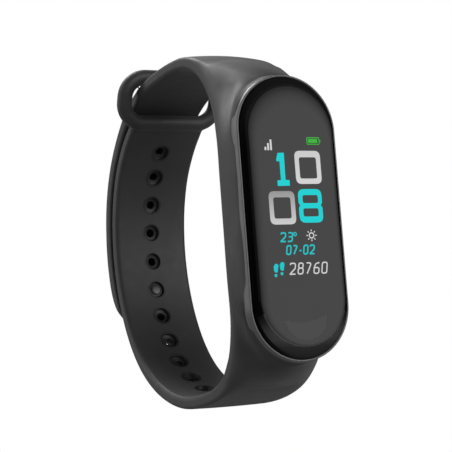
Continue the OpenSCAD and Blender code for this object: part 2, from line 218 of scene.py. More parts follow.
def ease(t):
    """From 0 to 1 as t does, level at both ends."""
    t = np.clip(t, 0, 1)
    return t * t * (3 - 2 * t)


def stadium(x, z, r):
    """The capsule's oval outline from the front, at radius r about its straight middle."""
    return np.hypot(x, np.maximum(np.abs(z) - STRAIGHT, 0)) - r


def half_width(path, s, n, thick):
    """Half the strip's width at a height n out of its wrist side: bulged half way up."""
    v = np.clip(n / thick, 0, 1)
    inner = path.at(3, s)
    widest = path.at(4, s)
    outer = path.at(5, s)
    low = inner + (widest - inner) * np.sin(np.minimum(v, 0.5) * math.pi)
    high = outer + (widest - outer) * (1 - ease(2 * v - 1))
    return np.where(v < 0.5, low, high)


def strip_shape(path, x, y, z, s, n, collar=False):
    """A run of the strip, domed outside, with the collar that holds the capsule."""
    thick = path.at(2, s)
    ax = np.abs(x)
    top = n - thick - path.crown(s) * (1 - (ax / W) ** 2)
    wall = thick
    edge = EDGE_R
    if collar:
        wall = thick + np.maximum(COLLAR_HEIGHT - thick, 0) * ease((26 - np.abs(z)) / 10)
        cone = stadium(x, z, 0) - np.interp(y, COLLAR_Y, COLLAR_R)
        dome = both(both(cone, LIP_Y - y, 0.3), y - COLLAR_Y[-1], 0.3)
        top = joined(top, dome, 2.2 + 2.0 * ease(z / 24))
        edge += ARCH_EDGE_R * ease((thick - THIN) / (THICK - THIN)) * ease((y + 29.3) / 5.0)
    side = ax - half_width(path, s, n, wall)
    solid = both(top, side, edge)
    inner = 0.8 - 0.45 * np.clip((thick - 2.2) / 1.5, 0, 1)
    return both(solid, -n, np.minimum(inner, 0.42 * thick))


def loop_shape(x, y, z):
    """The keeper loop: a round bar bent to a rounded square."""
    rise = UPPER_BAR - LOWER_BAR
    height = np.linalg.norm(rise)
    up = rise / height
    mid = (LOWER_BAR + UPPER_BAR) / 2
    a = (y - mid[0]) * up[0] + (z - mid[1]) * up[1]
    off = (y - mid[0]) * up[1] - (z - mid[1]) * up[0]
    qx = np.abs(x) - (LOOP_HALF - LOOP_CORNER)
    qa = np.abs(a) - (height / 2 - LOOP_CORNER)
    flat = (np.hypot(np.maximum(qx, 0), np.maximum(qa, 0))
            + np.minimum(np.maximum(qx, qa), 0) - LOOP_CORNER)
    return np.hypot(flat, off) - LOOP_BAR_R


def holes_shape(x, s, n):
    """Room for the rims of all the strap's holes, a little wider than the rims."""
    which = np.searchsorted((HOLE_S[1:] + HOLE_S[:-1]) / 2, s)
    rho = np.hypot(x, s - HOLE_S[which])
    mouth = np.maximum(rho - MOUTH_R - RIM_ROOM, n - MOUTH_DEPTH - 0.2)
    throat = rho - THROAT_R - 0.27
    through = np.maximum(-1.5 - n, n - 3.2)
    return np.maximum(np.minimum(mouth, throat), through)


def pocket_shape(x, y, z):
    """Room for the capsule, with a ledge wherever it narrows."""
    room = np.inf
    for r, depth in POCKET:
        room = np.minimum(room, np.maximum(stadium(x, z, r), y - depth))
    return room


SOFT_REACH = 2.2       # distance over which softened normals are averaged
ARM = Path(0, 9.5)
UPPER = Path(LOOP_ROW, FRONT_ROW + 0.6)
LOWER = Path(FRONT_ROW - 0.6, len(STRIP) - 1)
HOLE_S = np.array([LOWER.s_of(row) for row in HOLE_ROWS])


def band_shape(x, y, z, near):
    """The wristband without the free end of its upper arm."""
    (s1, n1), (s2, n2) = near
    upper = strip_shape(UPPER, x, y, z, s1, n1, collar=True)
    upper = np.maximum(upper, -s1)
    upper = np.maximum(upper, s1 - UPPER.s[-1])
    lower = strip_shape(LOWER, x, y, z, s2, n2, collar=True)
    lower = np.maximum(lower, -s2)
    lower = np.maximum(lower, s2 - LOWER.s[-1])
    lower = both(lower, -holes_shape(x, s2, n2), SEAM_R)
    lower = joined(lower, loop_shape(x, y, z), 0.5)
    solid = np.minimum(upper, lower)
    return both(solid, -pocket_shape(x, y, z), POCKET_R)


def arm_shape(x, y, z, near):
    """The free end of the upper arm, a hair slimmer where it enters the other piece."""
    s, n = near[0]
    seam = ARM.s_of(LOOP_ROW)
    tuck = np.clip((s - seam) / 0.5, 0, 1) * 0.03
    solid = strip_shape(ARM, x, y, z, s, n) + tuck
    solid = np.maximum(solid, s - seam - 0.7)
    qx = np.abs(x) - (W - TIP_R)
    qs = (TIP_R - TIP_PAST) - s
    corner = (np.hypot(np.maximum(qx, 0), np.maximum(qs, 0))
              + np.minimum(np.maximum(qx, qs), 0) - TIP_R)
    solid = both(solid, corner, 0.4)
    p, way, out = frame_at(STUD_ROW)
    a = (y - p[0]) * way[0] + (z - p[1]) * way[1]
    h = (y - p[0]) * out[0] + (z - p[1]) * out[1]
    rho = np.hypot(x, a)
    seat = np.maximum(rho - CAP_R - 0.08, 4.75 - h)
    neck = rho - NECK_R - 0.25
    return both(solid, -np.minimum(seat, neck), SEAM_R)


def arch_share(verts, found):
    """How far the normals are softened: fully on the outside of the thick arches over
    and under the capsule, away from the lip."""
    y = verts[:, 1]
    z = verts[:, 2]
    (s1, n1, _), (s2, n2, _) = found
    above = z > 0
    n = np.where(above, n1, n2)
    thick = np.where(above, UPPER.at(2, s1), LOWER.at(2, s2))
    return (ease((n / thick - 0.25) / 0.4) * ease((thick - 2.4) / 1.2)
            * ease((y + 29.6) / 1.6) * ease((np.abs(z) - 11) / 5))


def unit(rows):
    """Each row at length 1."""
    return rows / np.maximum(np.linalg.norm(rows, axis=1), 1e-6)[:, None]


def net(shape, paths, low, high, cell, soft=None):
    """Mesh of a shape: one point in each cell of a grid that its surface crosses,
    moved onto the surface, with the surface's own normals. Where soft gives more than 0,
    the normals are averaged over a wider stretch of the surface."""
    axes = [np.arange(a, b + cell, cell) for a, b in zip(low, high)]
    gy, gz = np.meshgrid(axes[1], axes[2], indexing="ij")
    near = [(s[None], n[None]) for s, n, _ in (p.nearest(gy, gz) for p in paths)]
    f = shape(axes[0][:, None, None], gy[None], gz[None], near)
    f = np.broadcast_to(f, tuple(len(a) for a in axes))
    inside = f < 0
    n = [d - 1 for d in f.shape]

    def corner(i, j, k, grid):
        return grid[i:n[0] + i, j:n[1] + j, k:n[2] + k]

    count = sum(corner(i, j, k, inside).astype(np.int8)
                for i in (0, 1) for j in (0, 1) for k in (0, 1))
    # The mean of the places where the surface crosses each cell's edges.
    cells = np.argwhere((count > 0) & (count < 8))
    index = np.full(n, -1)
    index[tuple(cells.T)] = np.arange(len(cells))
    total = np.zeros((len(cells), 3))
    hits = np.zeros(len(cells))
    for axis in range(3):
        others = [a for a in range(3) if a != axis]
        for p in (0, 1):
            for q in (0, 1):
                start = np.zeros(3, int)
                start[others[0]] = p
                start[others[1]] = q
                end = start.copy()
                end[axis] = 1
                f0 = f[tuple((cells + start).T)]
                f1 = f[tuple((cells + end).T)]
                cross = (f0 < 0) != (f1 < 0)
                t = np.where(cross, f0 / np.where(cross, f0 - f1, 1), 0)
                point = start + t[:, None] * (end - start)
                total += np.where(cross[:, None], point, 0)
                hits += cross
    verts = np.array(low) + (cells + total / hits[:, None]) * cell
    # A face round each grid edge that the surface crosses, from the four cells about it.
    faces = []
    for axis in range(3):
        b, c = [(1, 2), (2, 0), (0, 1)][axis]
        first = np.take(inside, range(n[axis]), axis=axis)
        second = np.take(inside, range(1, n[axis] + 1), axis=axis)
        edges = np.argwhere(first != second)
        ok = (edges[:, b] > 0) & (edges[:, c] > 0) & (edges[:, b] < n[b]) & (edges[:, c] < n[c])
        edges = edges[ok]
        quad = []
        for db, dc in ((-1, -1), (0, -1), (0, 0), (-1, 0)):
            cell_at = edges.copy()
            cell_at[:, b] += db
            cell_at[:, c] += dc
            quad.append(index[tuple(cell_at.T)])
        quad = np.stack(quad, 1)
        outward = first[tuple(edges.T)]
        quad[~outward] = quad[~outward][:, ::-1]
        faces.append(quad)
    faces = np.concatenate(faces)

    def slope_at(v, e=0.02):
        """The shape's value and its slope at points on or near its surface."""
        x, y, z = v.T
        found = [p.nearest(y, z) for p in paths]
        ways = [p.way[i] for p, (_, _, i) in zip(paths, found)]

        def value(dx, dy, dz):
            near = [(s + dy * w[:, 0] + dz * w[:, 1], n + dy * w[:, 1] - dz * w[:, 0])
                    for (s, n, _), w in zip(found, ways)]
            return shape(x + dx, y + dy, z + dz, near)

        g = np.stack([value(*d) - value(*-d) for d in np.eye(3) * e], 1) / (2 * e)
        return value(0, 0, 0), g

    for _ in range(2):
        f, g = slope_at(verts)
        move = g * (f / np.maximum((g * g).sum(1), 0.2))[:, None]
        verts -= np.clip(move, -cell / 2, cell / 2)
    normal = unit(slope_at(verts)[1])
    if soft is not None:
        found = [p.nearest(verts[:, 1], verts[:, 2]) for p in paths]
        share = soft(verts, found)[:, None]
        wide = unit(slope_at(verts, SOFT_REACH)[1])
        normal = unit(normal * (1 - share) + wide * share)
    return verts, faces, normal


def mesh_object(name, verts, faces, normals=None):
    """An object of the scene from points in millimetres."""
    if isinstance(faces, np.ndarray):
        faces = faces.tolist()
    mesh = bpy.data.meshes.new(name)
    mesh.from_pydata((np.asarray(verts) * MM).tolist(), [], faces)
    mesh.validate()
    mesh.update()
    mesh.shade_smooth()
    if normals is not None:
        mesh.normals_split_custom_set_from_vertices(normals.tolist())
    obj = bpy.data.objects.new(name, mesh)
    scene.collection.objects.link(obj)
    return obj


def face_outward(obj):
    """Turn every face of a closed mesh outward and shade it smooth."""
    bm = bmesh.new()
    bm.from_mesh(obj.data)
    bmesh.ops.recalc_face_normals(bm, faces=bm.faces)
    bm.to_mesh(obj.data)
    bm.free()
    obj.data.shade_smooth()
    return obj


CELL = 0.27
band = mesh_object("wristband_skin", *net(
    band_shape, [UPPER, LOWER], (-11.2, -30.6, -30.4), (11.2, 26.0, 33.0), CELL,
    soft=arch_share))
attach(band, "wristband")
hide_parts("wristband")

arm = mesh_object("upper_arm_skin", *net(
    arm_shape, [ARM], (-7.9, 8.5, -14.9), (7.9, 29.2, 29.6), CELL))
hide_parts("strap_tip")
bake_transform(arm)


def hole_rims_mesh():
    """Walls and rims of the strap's holes, turned about each hole on the curved strip."""
    profile = [(MOUTH_R + 0.37, -0.02), (MOUTH_R + 0.09, -0.03), (MOUTH_R + 0.03, -0.01),
               (MOUTH_R, 0.06), (MOUTH_R, MOUTH_DEPTH - 0.05), (MOUTH_R - 0.04, MOUTH_DEPTH),
               (THROAT_R + 0.11, MOUTH_DEPTH), (THROAT_R + 0.03, MOUTH_DEPTH + 0.03),
               (THROAT_R, MOUTH_DEPTH + 0.12), (THROAT_R, 2.2), (THROAT_R + 0.07, 2.28),
               (THROAT_R + 0.57, 2.29)]
    count = 56
    turn = np.linspace(0, 2 * math.pi, count, endpoint=False)
    verts = []
    faces = []
    for s0 in HOLE_S:
        faces += rings_to_faces(len(verts), len(profile), count)
        for r, n in profile:
            row = np.interp(s0 + r * np.sin(turn), LOWER.s, LOWER.row)
            p = strip_at(row)[:, :2]
            way = strip_at(row + 0.02)[:, :2] - strip_at(row - 0.02)[:, :2]
            way /= np.linalg.norm(way, axis=1)[:, None]
            verts += [(r * math.cos(a), q[0] + w[1] * n, q[1] - w[0] * n)
                      for a, q, w in zip(turn, p, way)]
    return face_outward(mesh_object("hole_rims", verts, faces))


# ---- lens of the capsule
LENS_R = 8.74
FACE_R = 7.82
FACE_X = 0.22           # the flat face sits this far towards +X of the outline
LENS_Y = -31.3
LENS_RIM_Y = -30.3
TOP_DROP = 0.8          # how much further in the flat face stops at the ends
BOTTOM_DROP = 1.1
FADE = (2.1, 1.8, 1.5, 1.2, 0.9, 0.6, 0.3, 0.0)   # rings where the flat face dims
FADE_IN = 0.5           # how far in a ring lies for each 1 of FADE
FADE_DOWN = 0.38        # and how far its lower end is let down again
LOW_EDGE_Z = -15.5      # below this the curved edge takes the painted light of the lower end
OUTER_BAND = 10         # strips of the curved edge from this one on are its outer part
DIMPLE = (0.36, -15.92)
DIMPLE_R = 4.0
DIMPLE_DEPTH = 0.045


def stadium_ring(r, top=STRAIGHT, bottom=STRAIGHT, arc=64, side=56):
    """Points round an oval outline, in x and z."""
    a = np.linspace(0, math.pi, arc)
    up = np.stack([r * np.cos(a), top + r * np.sin(a)], 1)
    z = np.linspace(top, -bottom, side)[1:-1]
    left = np.stack([np.full(z.shape, -r), z], 1)
    down = np.stack([-r * np.cos(a), -bottom - r * np.sin(a)], 1)
    right = np.stack([np.full(z.shape, r), z[::-1]], 1)
    return np.concatenate([up, left, down, right])


def rings_to_faces(start, rings, count):
    """Faces between closed rings of count points that follow each other from start."""
    i = np.arange(count)
    j = (i + 1) % count
    return [(start + k * count + a, start + k * count + b,
             start + (k + 1) * count + b, start + (k + 1) * count + a)
            for k in range(rings - 1) for a, b in zip(i, j)]


def bowl_y(r):
    """Depth of the touch dimple at a distance from its middle."""
    return LENS_Y + DIMPLE_DEPTH * max(1 - (r / DIMPLE_R) ** 2, 0) ** 1.25


def lens_slot(strip, z):
    """Which of LENS_LOOKS covers a face in this strip of the lens, at height z in metres."""
    faded = len(FADE) - 1
    if strip < faded:
        return 1 + strip
    out = strip - faded
    if z > LOW_EDGE_Z * MM:
        return faded + (2 if out > 1 else 1)
    return faded + 3 + (5 if out >= OUTER_BAND else min(out // 2, 4))


def lens_mesh():
    """Curved edge of the lens, its back, its flat front and the touch dimple."""
    angle = np.radians([0, 2, 5, 9, 14, 20, 27, 35, 43, 51, 59, 67, 75, 83, 90])
    deep = LENS_RIM_Y - LENS_Y
    # Rows of radius, y, and how far out towards the edge: 0 where the flat face ends.
    profile = [(FACE_R - 0.06 - FADE_IN * k, LENS_Y, -k) for k in FADE]
    profile += [(FACE_R + (LENS_R - FACE_R) * math.sin(a),
                 LENS_Y + deep * (1 - math.cos(a)), math.sin(a)) for a in angle]
    profile += [(LENS_R, -30.1, 1), (LENS_R - 0.04, -29.93, 1), (LENS_R - 0.12, -29.9, 1),
                (7.4, -29.9, 1)]
    verts = []
    for r, y, out in profile:
        highest = STRAIGHT - TOP_DROP * (1 - out)
        lowest = STRAIGHT - BOTTOM_DROP * (1 - max(out, 0)) - FADE_DOWN * min(out, 0)
        ring = stadium_ring(r, highest, lowest)
        verts += [(x + FACE_X * (1 - out), y, z) for x, z in ring]
    count = len(ring)
    faces = rings_to_faces(0, len(profile), count)
    start = len(verts)
    rho = np.array([4.2, 4.1, 4.0, 3.9, 3.8, 3.6, 3.3, 2.9, 2.4, 1.8, 1.2, 0.6, 0.2])
    turn = np.linspace(0, 2 * math.pi, 96, endpoint=False)
    for r in rho:
        verts += [(DIMPLE[0] + r * math.cos(a), bowl_y(r), DIMPLE[1] + r * math.sin(a))
                  for a in turn]
    faces += rings_to_faces(start, len(rho), len(turn))
    verts.append((DIMPLE[0], bowl_y(0), DIMPLE[1]))
    last = start + (len(rho) - 1) * len(turn)
    faces += [(last + i, last + (i + 1) % len(turn), len(verts) - 1)
              for i in range(len(turn))]
    obj = mesh_object("lens", verts, faces)
    for i, face in enumerate(obj.data.polygons):
        if i < (len(profile) - 1) * count:
            face.material_index = lens_slot(i // count, face.center.z)
    # The flat face, between the inmost ring and the dimple.
    bm = bmesh.new()
    bm.from_mesh(obj.data)
    outline = [e for e in bm.edges if e.is_boundary
               and abs(e.verts[0].co.y - LENS_Y * MM) < 1e-6]
    bmesh.ops.triangle_fill(bm, use_beauty=True, edges=outline)
    bmesh.ops.recalc_face_normals(bm, faces=bm.faces)
    for f in bm.faces:
        f.smooth = True
    bm.to_mesh(obj.data)
    bm.free()
    return obj


rims = hole_rims_mesh()
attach(rims, "wristband")
lens = lens_mesh()
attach(lens, "capsule")
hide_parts("front_lens")


def painted_light_dimple_mesh():
    """The lower, upward-facing part of the dimple painted lighter as painted light: a thin skin
    in the bowl.
    """
    columns = 41
    rows = 12
    verts = []
    for u in np.linspace(-1, 1, columns):
        x = u * (DIMPLE_R - 0.1)
        low = -math.sqrt(DIMPLE_R ** 2 - x ** 2)
        high = -0.35 - 0.75 * (1 - u * u) + 0.3 * u
        for v in np.linspace(0, 1, rows):
            z = low + max(high - low, 0.0) * v
            verts.append((DIMPLE[0] + x, bowl_y(math.hypot(x, z)) - 0.008, DIMPLE[1] + z))
    faces = [(i * rows + j, (i + 1) * rows + j, (i + 1) * rows + j + 1, i * rows + j + 1)
             for i in range(columns - 1) for j in range(rows - 1)]
    return mesh_object("painted_light_dimple", verts, faces)


painted_light_dimple = painted_light_dimple_mesh()
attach(painted_light_dimple, "capsule")


BEAD_R = 0.18
BEAD_AT = 8.98          # distance of the bead's middle from the capsule's straight middle


def lip_mesh():
    """The rounded bead of the band that stands round the lens."""
    profile = [(BEAD_AT - BEAD_R, -29.3), (BEAD_AT - BEAD_R, -30.2)]
    profile += [(BEAD_AT - BEAD_R * math.cos(a), LENS_RIM_Y - BEAD_R * math.sin(a))
                for a in np.linspace(0, math.pi, 9)]
    profile += [(9.19, -30.0), (9.23, -29.6), (9.28, -29.2), (9.3, -28.8), (9.25, -28.6),
                (9.0, -28.6)]
    verts = []
    for r, y in profile:
        verts += [(x, y, z) for x, z in stadium_ring(r)]
    count = len(stadium_ring(1))
    faces = rings_to_faces(0, len(profile), count)
    first = (len(profile) - 1) * count
    faces += [(first + i, first + (i + 1) % count, (i + 1) % count, i)
              for i in range(count)]
    return mesh_object("pocket_lip", verts, faces)


lip = lip_mesh()
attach(lip, "wristband")

# ---- lit marks
MARK_Y = LENS_Y - 0.012            # just proud of the glass
MARK_SHIFT = (-0.16, -0.04)
LEAN = math.tan(math.radians(9))   # of the small digits
DIGIT_WAIST = 0.53                 # height of a digit's middle stroke, as a share


def rounded(points, radii, steps=6):
    """A closed outline with its corners rounded, all alike or each to its own radius."""
    out = []
    n = len(points)
    for i in range(n):
        p = np.array(points[i], float)
        r = radii if np.isscalar(radii) else radii[i]
        if r <= 0:
            out.append(p)
            continue
        before = np.array(points[i - 1], float) - p
        after = np.array(points[(i + 1) % n], float) - p
        back = np.linalg.norm(before)
        ahead = np.linalg.norm(after)
        before /= back
        after /= ahead
        half = math.acos(np.clip(before @ after, -1, 1)) / 2
        cut = min(r / math.tan(half), back / 2, ahead / 2)
        out += [p + before * cut * (1 - t) ** 2 + after * cut * t ** 2
                for t in np.linspace(0, 1, steps)]
    return out


def box_outline(low, high, r):
    """A rounded box from its lower left corner to its upper right one."""
    return rounded([(low[0], low[1]), (high[0], low[1]), (high[0], high[1]),
                    (low[0], high[1])], r)


class Marks:
    """Flat lit shapes of one colour, just proud of the lens."""

    def __init__(self, name):
        self.name = name
        self.verts = []
        self.faces = []

    def add(self, *outlines):
        """A filled outline, less any holes in it."""
        curve = bpy.data.curves.new(self.name, "CURVE")
        curve.dimensions = "2D"
        curve.fill_mode = "BOTH"
        for outline in outlines:
            spline = curve.splines.new("POLY")
            spline.points.add(len(outline) - 1)
            for point, (x, z) in zip(spline.points, outline):
                point.co = (x, z, 0, 1)
            spline.use_cyclic_u = True
        holder = bpy.data.objects.new(self.name + "_outline", curve)
        scene.collection.objects.link(holder)
        graph = bpy.context.evaluated_depsgraph_get()
        mesh = bpy.data.meshes.new_from_object(holder.evaluated_get(graph))
        start = len(self.verts)
        self.verts += [(v.co.x, v.co.y) for v in mesh.vertices]
        self.faces += [[start + i for i in f.vertices] for f in mesh.polygons]
        bpy.data.objects.remove(holder)
        bpy.data.meshes.remove(mesh)
        bpy.data.curves.remove(curve)

    def line(self, points, width, closed=False):
        """A stroke along points, with mitred corners."""
        p = np.array(points, float)
        n = len(p)
        start = len(self.verts)
        for i in range(n):
            before = p[i] - p[i - 1] if closed or i > 0 else p[1] - p[0]
            after = p[(i + 1) % n] - p[i] if closed or i < n - 1 else p[-1] - p[-2]
            before = before / max(np.linalg.norm(before), 1e-9)
            after = after / max(np.linalg.norm(after), 1e-9)
            way = before + after
            way /= max(np.linalg.norm(way), 1e-9)
            side = np.array([-way[1], way[0]])
            reach = width / 2 / max(abs(side @ np.array([-after[1], after[0]])), 0.6)
            self.verts += [tuple(p[i] + side * reach), tuple(p[i] - side * reach)]
        for i in range(n if closed else n - 1):
            a = start + 2 * i
            b = start + 2 * ((i + 1) % n)
            self.faces.append([a, a + 1, b + 1, b])

    def finish(self, material):
        """The marks as one object on the lens, every face turned to the front."""
        verts = [(x + MARK_SHIFT[0], MARK_Y, z + MARK_SHIFT[1]) for x, z in self.verts]
        faces = []
        for face in self.faces:
            a, b, c = (self.verts[i] for i in face[:3])
            turn = (b[0] - a[0]) * (c[1] - a[1]) - (b[1] - a[1]) * (c[0] - a[0])
            faces.append(face if turn > 0 else face[::-1])
        obj = mesh_object(self.name, verts, faces)
        obj.data.materials.append(material)
        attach(obj, "capsule")
        return obj


def small_glyph(char, x, z, w, h, width):
    """Strokes of a digit in a leaning box, as (points, closed)."""
    r = min(w, h) * 0.3
    e = width / 2
    x0 = e
    x1 = w - e
    z0 = e
    z1 = h - e
    zm = h * DIGIT_WAIST

    def stroke(points, closed):
        radii = r if closed else [0] + [r] * (len(points) - 2) + [0]
        return [(x + px + pz * LEAN, z + pz) for px, pz in rounded(points, radii, 5)], closed

    shapes = {
        "0": [([(x0, z0), (x1, z0), (x1, z1), (x0, z1)], True)],
        "2": [([(x0, z1 - r * 0.8), (x0, z1), (x1, z1), (x1, zm), (x0, z0)], False),
              ([(x0 - e * 0.4, z0), (x1 + e, z0)], False)],
        "3": [([(x0, z1), (x1, z1), (x1, zm), (x0 + e, zm)], False),
              ([(x0 + e, zm), (x1, zm), (x1, z0), (x0, z0)], False)],
        "6": [([(x1, z1), (x0 + r * 0.7, z1 - r * 0.5), (x0, zm), (x0, z0), (x1, z0),
                (x1, zm), (x0 + e, zm)], False)],
        "7": [([(x0, z1), (x1, z1), (x0 + w * 0.2, z0)], False)],
        "8": [([(x0, z0), (x1, z0), (x1, zm), (x0, zm)], True),
              ([(x0 + e * 0.5, zm), (x1 - e * 0.5, zm), (x1 - e * 0.5, z1),
                (x0 + e * 0.5, z1)], True)],
        "-": [([(x0, h * 0.42), (x1, h * 0.42)], False)],
    }
    return [stroke(points, closed) for points, closed in shapes[char]]


def write(marks, text, x, z, h, w, gap, width):
    """A row of small digits, from its lower left corner."""
    for char in text:
        wide = w * (0.62 if char == "-" else 1)
        for points, closed in small_glyph(char, x, z, wide, h, width):
            marks.line(points, width, closed)
        x += wide + gap


def frame_mark(marks, low, high, r, inner_low, inner_high, inner_r):
    """A rounded box less a smaller rounded box."""
    marks.add(box_outline(low, high, r), box_outline(inner_low, inner_high, inner_r))


def ring_mark(marks, middle, r, count, width):
    """A small round ring."""
    marks.line([(middle[0] + r * math.cos(a), middle[1] + r * math.sin(a))
                for a in np.linspace(0, 2 * math.pi, count, endpoint=False)], width, True)


# ---- materials
def new_material(name):
    """A material, its nodes and its Principled shader."""
    material = bpy.data.materials.new(name)
    material.use_nodes = True
    tree = material.node_tree
    return material, tree, tree.nodes["Principled BSDF"]


def noise(tree, scale_mm, detail=3.0, rough=0.55, stretch=None):
    """Noise with features about scale_mm across, fixed to the object."""
    place = tree.nodes.new("ShaderNodeTexCoord")
    source = place.outputs["Object"]
    if stretch:
        mapping = tree.nodes.new("ShaderNodeMapping")
        mapping.inputs["Scale"].default_value = stretch
        tree.links.new(source, mapping.inputs["Vector"])
        source = mapping.outputs["Vector"]
    node = tree.nodes.new("ShaderNodeTexNoise")
    node.inputs["Scale"].default_value = 1 / (scale_mm * MM)
    node.inputs["Detail"].default_value = detail
    node.inputs["Roughness"].default_value = rough
    tree.links.new(source, node.inputs["Vector"])
    return node.outputs["Fac"]


def remap(tree, source, low, high, start=0.3, stop=0.7):
    """The source's run from start to stop, turned into low to high."""
    node = tree.nodes.new("ShaderNodeMapRange")
    node.inputs["From Min"].default_value = start
    node.inputs["From Max"].default_value = stop
    node.inputs["To Min"].default_value = low
    node.inputs["To Max"].default_value = high
    tree.links.new(source, node.inputs["Value"])
    return node.outputs["Result"]


def colours(tree, source, stops):
    """Colour looked up along (place, colour) stops."""
    ramp = tree.nodes.new("ShaderNodeValToRGB")
    ramp.color_ramp.elements[0].position = stops[0][0]
    ramp.color_ramp.elements[0].color = (*stops[0][1], 1)
    ramp.color_ramp.elements[1].position = stops[-1][0]
    ramp.color_ramp.elements[1].color = (*stops[-1][1], 1)
    for position, colour in stops[1:-1]:
        ramp.color_ramp.elements.new(position).color = (*colour, 1)
    tree.links.new(source, ramp.inputs["Fac"])
    return ramp.outputs["Color"]


def bump(tree, shader, source, height_mm):
    """Small relief on a material, height_mm deep."""
    node = tree.nodes.new("ShaderNodeBump")
    node.inputs["Distance"].default_value = height_mm * MM
    tree.links.new(source, node.inputs["Height"])
    tree.links.new(node.outputs["Normal"], shader.inputs["Normal"])


def plastic(name, dark, light, rough, grain_mm=0.12, grain_height=0.004, patch_mm=5.0,
            spread=0.06, sheen=0.0, ior=1.45):
    """A moulded or coated surface: patchy tone, uneven gloss and a fine grain."""
    material, tree, shader = new_material(name)
    patches = noise(tree, patch_mm, 4.0)
    tree.links.new(colours(tree, patches, [(0.3, dark), (0.7, light)]),
                   shader.inputs["Base Color"])
    fine = noise(tree, grain_mm, 2.0)
    blotch = noise(tree, patch_mm * 0.35, 3.0)
    tree.links.new(remap(tree, blotch, rough - spread, rough + spread),
                   shader.inputs["Roughness"])
    bump(tree, shader, fine, grain_height)
    shader.inputs["IOR"].default_value = ior
    if sheen:
        shader.inputs["Sheen Tint"].default_value = (1, 1, 1, 1)
        shader.inputs["Sheen Weight"].default_value = sheen
        shader.inputs["Sheen Roughness"].default_value = 0.45
    return material


def metal(name, dark, light, rough, stretch=(1, 1, 1), grain_mm=0.2):
    """Brushed, plated or sintered metal."""
    material, tree, shader = new_material(name)
    streaks = noise(tree, grain_mm, 3.0, 0.6, stretch)
    tree.links.new(colours(tree, streaks, [(0.25, dark), (0.75, light)]),
                   shader.inputs["Base Color"])
    tree.links.new(remap(tree, streaks, rough - 0.08, rough + 0.1),
                   shader.inputs["Roughness"])
    shader.inputs["Metallic"].default_value = 1.0
    bump(tree, shader, streaks, 0.003)
    return material


def grey(v):
    """A grey with a trace of blue."""
    return (v, v, v * 1.03)


SKIN = {"grain_mm": 0.09, "patch_mm": 6.0, "spread": 0.04}
silicone = plastic("silicone_skin", grey(0.030), grey(0.036), 0.56, grain_height=0.003,
                   sheen=0.12, ior=1.43, **SKIN)
for piece in (band, arm):
    piece.data.materials.append(silicone)
# The hole walls and the thin ring round each mouth get a darker silicone than the strap:
# painted shade in the holes.
rims.data.materials.append(plastic("silicone_bore_painted_shade", grey(0.017), grey(0.021), 0.5,
                                   grain_height=0.003, ior=1.4, **SKIN))
# The bead round the lens is the strap's silicone painted much lighter: a painted highlight on
# the rounded lip.
lip.data.materials.append(plastic("silicone_lip_painted_highlight", grey(0.085), grey(0.095), 0.4,
                                  grain_height=0.002, ior=1.5, **SKIN))


def by_place(tree, axis, stops):
    """Colour looked up along an axis of the object, from (mm, colour) stops."""
    place = tree.nodes.new("ShaderNodeTexCoord")
    split = tree.nodes.new("ShaderNodeSeparateXYZ")
    tree.links.new(place.outputs["Object"], split.inputs["Vector"])
    first = stops[0][0]
    last = stops[-1][0]
    where = remap(tree, split.outputs[axis], 0, 1, first * MM, last * MM)
    return colours(tree, where, [((at - first) / (last - first), colour)
                                 for at, colour in stops])


def gloss(name, ior, tones, axis=None):
    """Dark polished glass with a faint uneven film on it. Its tint follows the film between two
    greys or, given an axis,
    the place, where it is painted light: tones are then (mm, grey) pairs."""
    material, tree, shader = new_material(name)
    smear = noise(tree, 9.0, 5.0, 0.6, (1.0, 1.0, 0.6))
    if axis:
        tint = by_place(tree, axis, [(at, grey(tone)) for at, tone in tones])
    else:
        tint = colours(tree, smear, [(0.3, grey(tones[0])), (0.7, grey(tones[1]))])
    tree.links.new(tint, shader.inputs["Base Color"])
    tree.links.new(remap(tree, smear, 0.02, 0.06), shader.inputs["Roughness"])
    shader.inputs["IOR"].default_value = ior
    bump(tree, shader, noise(tree, 4.0, 2.0), 0.0006)
    return material


# The glass shines less towards its edge: first the flat face and the rings of FADE, then
# the curved edge from its upper part, and then the curved edge round the lower end.
FACE_IOR = 1.263
FACE_TONES = (0.0012, 0.0022)
# The tints of the curved edge are painted light: lighter towards the top of the upper edge, a
# light band round the lower end, and lighter towards +X on its outer strips.
HIGH_PAINTED_LIGHT = ((-22.5, 0.0016), (11.0, 0.0016), (18.0, 0.006), (22.5, 0.009))
LOW_PAINTED_LIGHT = ((-22.5, 0.020), (-21.0, 0.022), (-19.6, 0.042), (-18.2, 0.036), (-16.8, 0.012),
             (-15.5, 0.002))
OUTER_PAINTED_LIGHT = ((-8.8, 0.002), (-7.0, 0.006), (-4.5, 0.009), (-2.0, 0.019), (9.0, 0.021))
FADE_IOR = (FACE_IOR, 1.258, 1.25, 1.24, 1.228, 1.212, 1.19, 1.16)
LENS_LOOKS = [gloss("lens_gloss_%d" % i, ior, FACE_TONES) for i, ior in enumerate(FADE_IOR)]
LENS_LOOKS += [gloss("lens_high_%d" % i, ior, HIGH_PAINTED_LIGHT, "Z")
               for i, ior in enumerate((1.12, 1.05))]
LENS_LOOKS += [gloss("lens_low_%d" % i, ior, LOW_PAINTED_LIGHT, "Z")
               for i, ior in enumerate((1.19, 1.17, 1.13, 1.09, 1.05))]
LENS_LOOKS += [gloss("lens_low_5", 1.05, OUTER_PAINTED_LIGHT, "X")]
for look in LENS_LOOKS:
    lens.data.materials.append(look)
# The skin in the lower part of the dimple is glass tinted about ten times lighter than the
# face: painted light where the bowl faces up.
painted_light_dimple.data.materials.append(gloss("dimple_painted_light", FACE_IOR, (0.012, 0.016)))

ROW_PITCH = 0.1         # of the display's rows of dots


